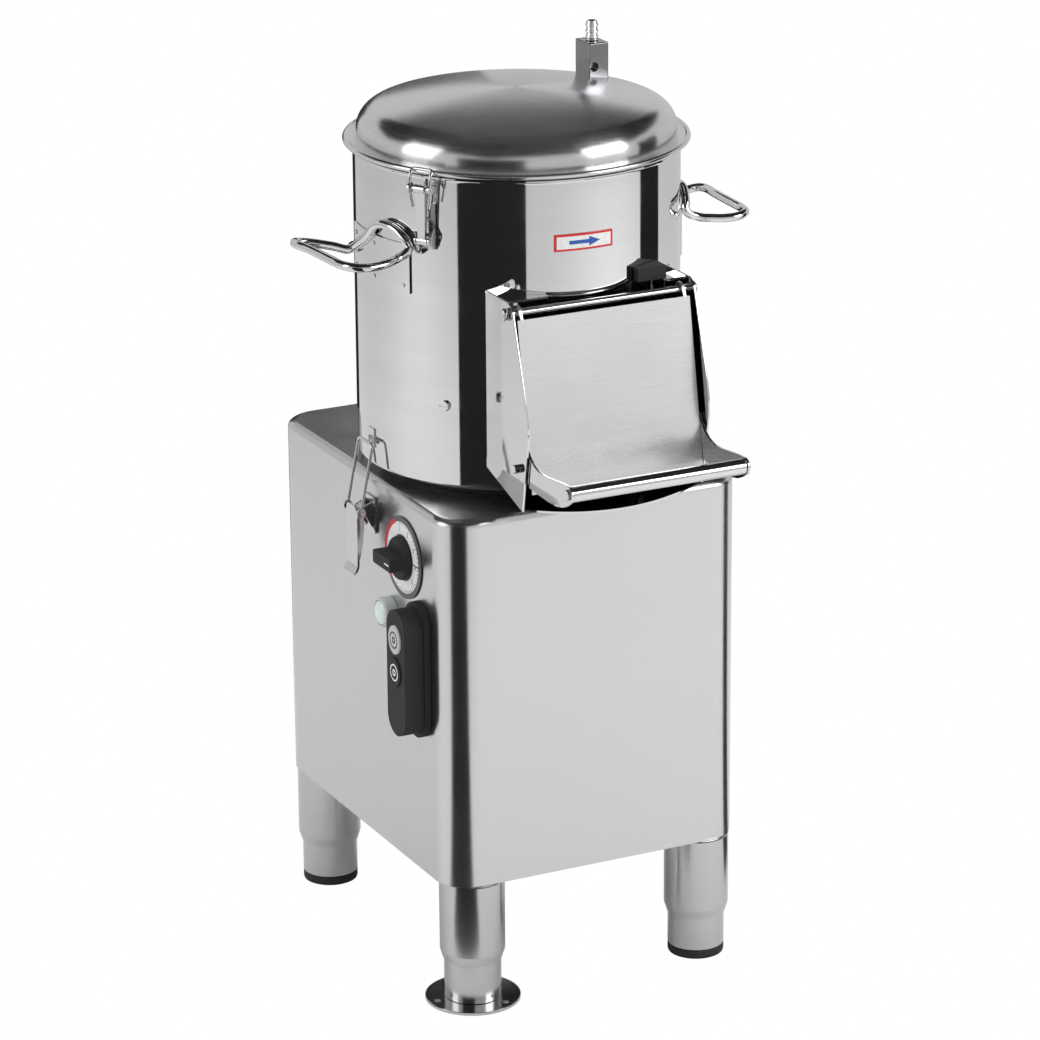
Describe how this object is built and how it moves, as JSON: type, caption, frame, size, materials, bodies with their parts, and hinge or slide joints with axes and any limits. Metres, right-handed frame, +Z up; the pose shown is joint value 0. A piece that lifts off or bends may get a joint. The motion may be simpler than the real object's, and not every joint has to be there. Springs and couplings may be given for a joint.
{
  "type": "electric potato peeler",
  "caption": "Steel cabinet on four legs with a lift-off polished drum, domed lid, discharge chute with hinged door, latches, timer dial and switch box.",
  "frame": {"origin": "on the floor, under the middle of the whole machine's bounding box", "axes": "+Z up, -Y towards the chute and its door, +X to the right seen from the front"},
  "size_m": [0.424, 0.509, 0.856],
  "materials": {
    "brushed": "brushed",
    "polished": "mirror polished",
    "satin": "satin",
    "plated": "plated",
    "cast": "cast",
    "motor_paint": "semi-gloss",
    "black_plastic": "moulded",
    "grey_plastic": "moulded",
    "dial_print": "printed",
    "lens": "clear",
    "rubber": "moulded",
    "grit": "abrasive",
    "print": "printed"
  },
  "bodies": {
    "cabinet": {"cabinet_shell": "brushed", "back_cover": "brushed", "base_frame": "brushed", "bearing_housing": "cast", "bearing_cartridge": "plated", "motor": "motor_paint", "motor_plate": "satin", "drive_belt": "rubber", "drain_pipe": "satin", "drum_seat_ring": "rubber", "drum_latch_base_left": "plated", "drum_latch_base_right": "plated", "timer_dial": "dial_print", "lamp_bezel": "grey_plastic", "lamp_lens": "lens", "switch_housing": "black_plastic", "electrics_box": "grey_plastic", "cable_gland": "black_plastic"},
    "foot_front_left": {"leg_tube_front_left": "brushed", "flange_foot": "brushed"},
    "foot_front_right": {"leg_tube_front_right": "brushed", "rubber_foot_front_right": "rubber"},
    "foot_back_left": {"leg_tube_back_left": "brushed", "rubber_foot_back_left": "rubber"},
    "foot_back_right": {"leg_tube_back_right": "brushed", "rubber_foot_back_right": "rubber"},
    "spindle": {"drive_shaft": "plated", "shaft_pulley": "cast"},
    "rotor": {"motor_pulley": "cast"},
    "timer_knob": {"timer_knob": "black_plastic"},
    "start_button": {"start_button": "grey_plastic"},
    "stop_button": {"stop_button": "black_plastic"},
    "drum": {"drum_shell": "polished", "abrasive_liner": "grit", "direction_label": "print", "handle_left": "polished", "handle_right": "polished", "chute": "satin", "hinge_rod": "polished", "door_sensor": "black_plastic", "lid_latch_base_front": "satin", "lid_latch_base_back": "satin"},
    "disc": {"peeling_disc": "cast", "disc_grit": "grit"},
    "door": {"door_panel": "satin", "door_arm_left": "polished", "door_arm_right": "polished", "door_handle_bar": "polished"},
    "lid": {"lid_dome": "satin", "lid_seal": "rubber", "inlet_block": "satin", "hose_barb": "polished"},
    "lid_lever_front": {"lid_latch_lever_front": "plated"},
    "lid_hook_front": {"lid_latch_hook_front": "plated"},
    "lid_lever_back": {"lid_latch_lever_back": "plated"},
    "lid_hook_back": {"lid_latch_hook_back": "plated"},
    "drum_lever_left": {"drum_latch_lever_left": "plated"},
    "drum_bail_left": {"drum_latch_bail_left": "plated"},
    "drum_lever_right": {"drum_latch_lever_right": "plated"},
    "drum_bail_right": {"drum_latch_bail_right": "plated"}
  },
  "joints": [
    {"name": "level_front_left", "type": "slide", "parent": "cabinet", "child": "foot_front_left", "axis": [0, 0, -1], "range_m": [0, 0.02]},
    {"name": "level_front_right", "type": "slide", "parent": "cabinet", "child": "foot_front_right", "axis": [0, 0, -1], "range_m": [0, 0.02]},
    {"name": "level_back_left", "type": "slide", "parent": "cabinet", "child": "foot_back_left", "axis": [0, 0, -1], "range_m": [0, 0.02]},
    {"name": "level_back_right", "type": "slide", "parent": "cabinet", "child": "foot_back_right", "axis": [0, 0, -1], "range_m": [0, 0.02]},
    {"name": "disc_spin", "type": "hinge", "parent": "drum", "child": "disc", "pos_m": [0, 0.02442, 0.498], "axis": [0, 0, 1], "continuous": true},
    {"name": "spindle_spin", "type": "hinge", "parent": "cabinet", "child": "spindle", "pos_m": [0, 0.02442, 0.34], "axis": [0, 0, 1], "continuous": true},
    {"name": "motor_spin", "type": "hinge", "parent": "cabinet", "child": "rotor", "pos_m": [0, 0.15043, 0.34], "axis": [0, 0, 1], "continuous": true},
    {"name": "timer_turn", "type": "hinge", "parent": "cabinet", "child": "timer_knob", "pos_m": [-0.1521, -0.04457, 0.413], "axis": [1, 0, 0], "range_deg": [0, 300]},
    {"name": "start_press", "type": "slide", "parent": "cabinet", "child": "start_button", "axis": [1, 0, 0], "range_m": [0, 0.003], "stiffness_N_per_m": 400, "springref_m": -0.0005},
    {"name": "stop_press", "type": "slide", "parent": "cabinet", "child": "stop_button", "axis": [1, 0, 0], "range_m": [0, 0.003], "stiffness_N_per_m": 400, "springref_m": -0.0005},
    {"name": "drum_lift", "type": "slide", "parent": "cabinet", "child": "drum", "axis": [0, 0, 1], "range_m": [0, 0.05]},
    {"name": "lid_lift", "type": "slide", "parent": "drum", "child": "lid", "axis": [0, 0, 1], "range_m": [0, 0.06]},
    {"name": "door_hinge", "type": "hinge", "parent": "drum", "child": "door", "pos_m": [0, -0.13653, 0.656], "axis": [-1, 0, 0], "range_deg": [0, 100]},
    {"name": "lid_lever_turn_front", "type": "hinge", "parent": "drum", "child": "lid_lever_front", "pos_m": [-0.13314, -0.05877, 0.709], "axis": [0.5299, -0.848, 0], "range_deg": [0, 97]},
    {"name": "lid_hook_turn_front", "type": "hinge", "parent": "lid_lever_front", "child": "lid_hook_front", "pos_m": [-0.13654, -0.06089, 0.757], "axis": [0.5299, -0.848, 0], "range_deg": [0, 35]},
    {"name": "lid_lever_turn_back", "type": "hinge", "parent": "drum", "child": "lid_lever_back", "pos_m": [0.13314, 0.10762, 0.709], "axis": [-0.5299, 0.848, 0], "range_deg": [0, 97]},
    {"name": "lid_hook_turn_back", "type": "hinge", "parent": "lid_lever_back", "child": "lid_hook_back", "pos_m": [0.13654, 0.10974, 0.757], "axis": [-0.5299, 0.848, 0], "range_deg": [0, 35]},
    {"name": "drum_lever_turn_left", "type": "hinge", "parent": "cabinet", "child": "drum_lever_left", "pos_m": [-0.159, 0.02442, 0.441], "axis": [0, 1, 0], "range_deg": [0, 90]},
    {"name": "drum_bail_turn_left", "type": "hinge", "parent": "drum_lever_left", "child": "drum_bail_left", "pos_m": [-0.167, 0.02442, 0.441], "axis": [0, -1, 0], "range_deg": [0, 150]},
    {"name": "drum_lever_turn_right", "type": "hinge", "parent": "cabinet", "child": "drum_lever_right", "pos_m": [0.159, 0.02442, 0.441], "axis": [0, -1, 0], "range_deg": [0, 90]},
    {"name": "drum_bail_turn_right", "type": "hinge", "parent": "drum_lever_right", "child": "drum_bail_right", "pos_m": [0.167, 0.02442, 0.441], "axis": [0, 1, 0], "range_deg": [0, 150]}
  ],
  "couplings": [
    {"joint": "spindle_spin", "follows": "disc_spin", "ratio": 1},
    {"joint": "motor_spin", "follows": "disc_spin", "ratio": 3.8571},
    {"joint": "lid_lever_turn_front", "follows": "lid_lift", "rad_per_m": 28},
    {"joint": "lid_hook_turn_front", "follows": "lid_lift", "rad_per_m": 10},
    {"joint": "lid_lever_turn_back", "follows": "lid_lift", "rad_per_m": 28},
    {"joint": "lid_hook_turn_back", "follows": "lid_lift", "rad_per_m": 10},
    {"joint": "drum_lever_turn_left", "follows": "drum_lift", "rad_per_m": 31},
    {"joint": "drum_bail_turn_left", "follows": "drum_lift", "rad_per_m": 52},
    {"joint": "drum_lever_turn_right", "follows": "drum_lift", "rad_per_m": 31},
    {"joint": "drum_bail_turn_right", "follows": "drum_lift", "rad_per_m": 52}
  ]
}
